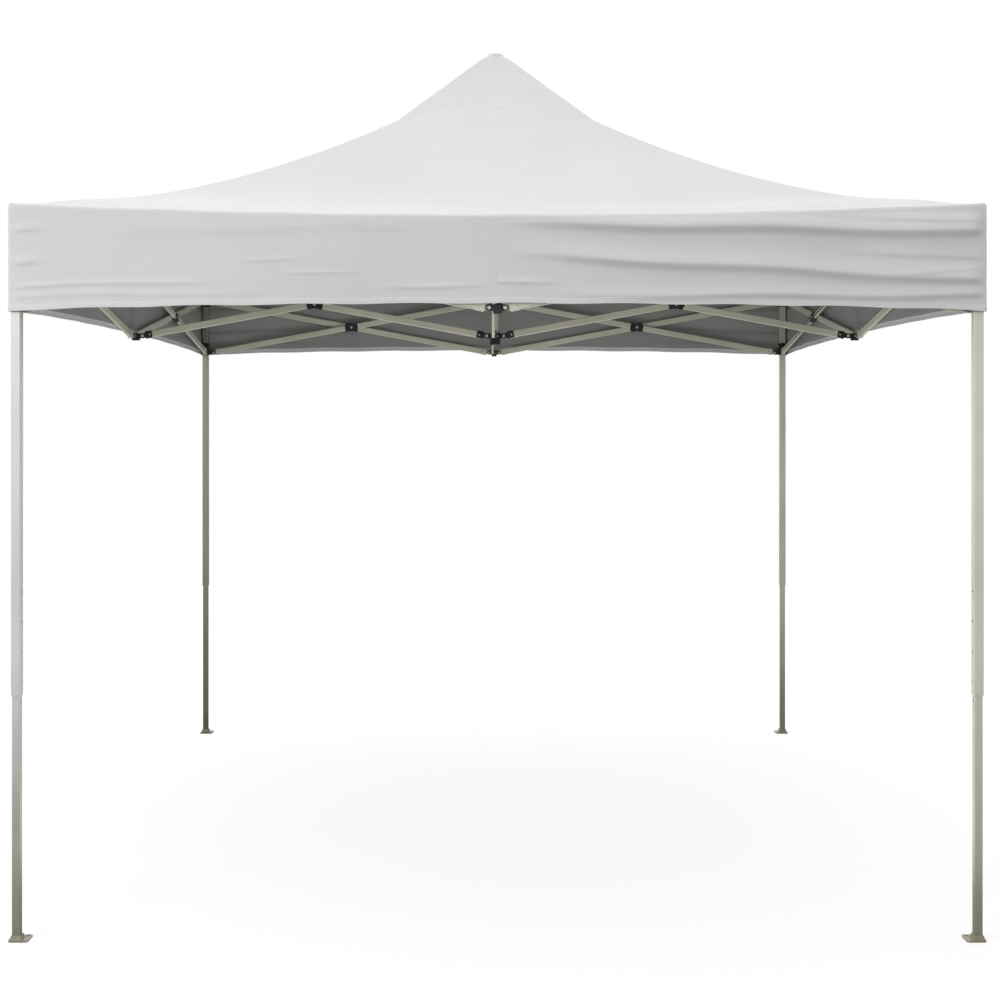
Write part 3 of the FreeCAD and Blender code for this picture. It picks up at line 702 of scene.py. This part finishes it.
def hinge_pivots():
    """Every place where bars meet brackets, with the axis of its rivet."""
    hinges = [joint for joint in frame["joints"]
              if joint["type"] == "hinge" and "canopy" not in joint["name"]]
    found = []
    for joint in hinges:
        axis = np.abs(np.array(joint["axis"], float))
        place = np.array(joint["pos_m"], float)
        for quarter in range(4):
            for flip in (1, -1):
                mirrored = place.copy()
                mirrored[0 if axis[1] > 0.5 else 1] *= flip
                found.append((turn(mirrored, quarter), np.abs(turn(axis, quarter))))
    heights = [joint["pos_m"][2] for joint in hinges]
    for place, axis in list(found):
        for z in (min(heights), max(heights)):
            found.append((np.array([place[0], place[1], z]), axis))
    return found


def paint_bracket(node, pivots):
    """Plastic bracket, with its own tube in steel and its rivets in zinc."""
    places = polygon_centres(frame["nodes"][node].data)
    choice = np.full(len(places), PLASTIC)
    low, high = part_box(node)
    if node.startswith("outer_leg"):
        centre = (np.sign(low.x) * LEG_CENTRE, np.sign(low.y) * LEG_CENTRE)
        half = np.maximum(np.abs(places[:, 0] - centre[0]), np.abs(places[:, 1] - centre[1]))
        choice[half < LEG_HALF] = STEEL
        choice[places[:, 2] > high.z - LEG_CAP_HIGH] = PLASTIC
    if node == "lower_hub":
        radial = np.hypot(places[:, 0], places[:, 1])
        choice[(radial < CENTRE_TUBE_R) & (places[:, 2] < high.z - CENTRE_GUIDE_HIGH)] = STEEL
    choice[pivot_heads(places, pivots)] = ZINC
    paint(node, choice)


def paint_frame():
    """Materials of every node of the frame."""
    pivots = hinge_pivots()
    for node, thing in frame["nodes"].items():
        count = len(thing.data.polygons)
        if node.startswith(("side_bar", "hub_arm")):
            paint_bar(node)
        elif node.startswith("inner_leg"):
            paint(node, np.full(count, STEEL))
        elif "button" in node:
            paint(node, np.full(count, ZINC))
        elif node == "peak_pole":
            places = polygon_centres(thing.data)
            radial = np.hypot(places[:, 0], places[:, 1])
            paint(node, np.where(radial < POLE_R, STEEL, PLASTIC))
        elif not node.startswith("canopy"):
            paint_bracket(node, pivots)


# ---------------------------------------------------------------- stage

WORLD_LEVEL = 0.95
WORLD_SLOPE = (-0.10, 0.34, 0.12)   # a little brighter to the left, behind and above
FLOOR_REACH = 40.0
FLOOR_TONE = 0.36
FLOOR_GLOW = 0.66
CAMERA_PLACE = (-0.025, -5.943, 1.608)
CAMERA_LENS = 51.9
CAMERA_SHIFT = (0.0108, -0.080)


def area_light(name, place, target, size, power):
    """Rectangular lamp at a place, turned to a target."""
    data = bpy.data.lights.new(name, "AREA")
    data.shape = "RECTANGLE"
    data.size, data.size_y = size
    data.energy = power
    lamp = bpy.data.objects.new(name, data)
    lamp.location = place
    lamp.rotation_euler = (Vector(target) - Vector(place)).to_track_quat("-Z", "Y").to_euler()
    bpy.context.scene.collection.objects.link(lamp)
    return lamp


def floor_material():
    """Pale floor that looks nearly shadowless but sends little light back up."""
    n = Nodes("floor")
    n.set(Roughness=0.9, Specular_IOR_Level=0.1)
    n.shader.inputs["Base Color"].default_value = (FLOOR_TONE, FLOOR_TONE, FLOOR_TONE, 1)
    seen = n.add("ShaderNodeLightPath").outputs["Is Camera Ray"]
    n.shader.inputs["Emission Color"].default_value = (1, 1, 1, 1)
    n.link(n.math("MULTIPLY", seen, FLOOR_GLOW), n.shader.inputs["Emission Strength"])
    return n.material


def build_world():
    """White studio: seen as plain white, and shining most from above and behind."""
    world = bpy.data.worlds.new("studio")
    bpy.context.scene.world = world
    world.use_nodes = True
    tree = world.node_tree
    direction = tree.nodes.new("ShaderNodeTexCoord").outputs["Generated"]
    shade = tree.nodes.new("ShaderNodeVectorMath")
    shade.operation = "DOT_PRODUCT"
    tree.links.new(direction, shade.inputs[0])
    shade.inputs[1].default_value = WORLD_SLOPE
    glow = tree.nodes.new("ShaderNodeMath")
    glow.inputs[1].default_value = WORLD_LEVEL
    tree.links.new(shade.outputs["Value"], glow.inputs[0])
    seen = tree.nodes.new("ShaderNodeLightPath")
    strength = tree.nodes.new("ShaderNodeMix")
    tree.links.new(seen.outputs["Is Camera Ray"], strength.inputs["Factor"])
    tree.links.new(glow.outputs[0], strength.inputs["A"])
    strength.inputs["B"].default_value = 1.0
    background = tree.nodes["Background"]
    background.inputs["Color"].default_value = (1, 1, 1, 1)
    tree.links.new(strength.outputs["Result"], background.inputs["Strength"])


def build_stage():
    """Floor, world, lights and camera."""
    mesh = bpy.data.meshes.new("floor")
    corners = [(x * FLOOR_REACH, y * FLOOR_REACH, 0) for x, y in ((-1, -1), (1, -1), (1, 1), (-1, 1))]
    mesh.from_pydata(corners, [], [(0, 1, 2, 3)])
    mesh.materials.append(floor_material())
    floor = bpy.data.objects.new("floor", mesh)
    bpy.context.scene.collection.objects.link(floor)
    build_world()
    area_light("top_softbox", (0, 0.5, 8.5), (0, 0, 2), (7, 7), 44)
    area_light("key", (-4.0, -5.6, 3.3), (-0.8, 0, 1.8), (2.0, 2.0), 100)
    fill = area_light("fill_under_roof", (0, -0.7, 0.05), (0, -0.7, 2.3), (2.2, 1.2), 20)
    fill.visible_camera = False
    scene = bpy.context.scene
    scene.view_settings.view_transform = "Standard"
    data = bpy.data.cameras.new("camera")
    data.lens = CAMERA_LENS
    data.sensor_width = 36
    data.shift_x, data.shift_y = CAMERA_SHIFT
    camera = bpy.data.objects.new("camera", data)
    camera.location = CAMERA_PLACE
    camera.rotation_euler = (math.pi / 2, 0, 0)
    scene.collection.objects.link(camera)
    scene.camera = camera


build_cloth()
paint_frame()
build_stage()
